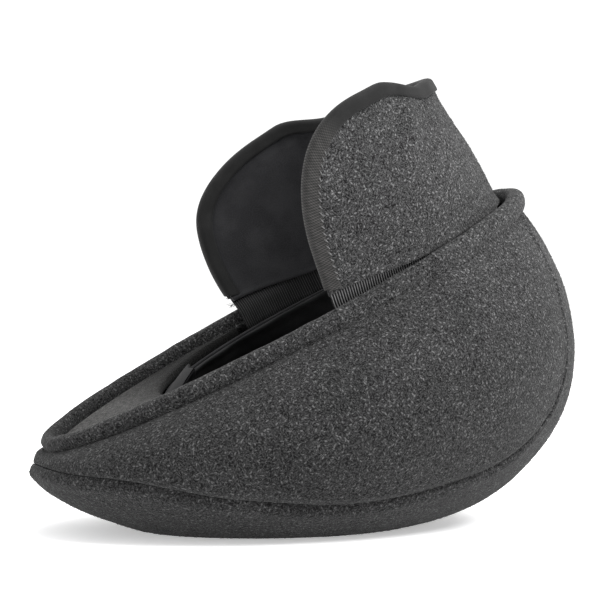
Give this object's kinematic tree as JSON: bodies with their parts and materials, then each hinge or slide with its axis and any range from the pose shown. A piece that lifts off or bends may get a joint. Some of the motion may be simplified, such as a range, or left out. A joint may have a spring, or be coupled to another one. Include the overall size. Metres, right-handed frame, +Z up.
{
  "type": "flat cap with ear flap",
  "caption": "Felt flat cap with a short peak, rolled hem, black lining and an ear flap turned out of the head opening, laid upside down on its crown.",
  "frame": {"origin": "on the floor, under the middle of the cap's bounding box", "axes": "+Z up as the cap lies on its crown, -X towards the peak, +X towards the back of the head, +Y towards the far side in the picture, which is the wearer's right with the cap worn the right way up"},
  "size_m": [0.2708, 0.202, 0.2187],
  "materials": {
    "felt": "napped grey melange",
    "lining_cloth": "matt black brushed knit",
    "black_tape": "ribbed black tape",
    "binding": "dark grey bias tape"
  },
  "bodies": {
    "root": {"side_panel": "felt", "crown_panel": "felt", "rim_roll": "felt", "peak": "felt", "rim_facing": "felt", "lining": "lining_cloth", "sweatband": "black_tape", "front_tab": "black_tape", "hinge_tape": "black_tape", "flap_shell": "felt", "flap_lining": "lining_cloth", "flap_binding": "binding"}
  },
  "joints": []
}
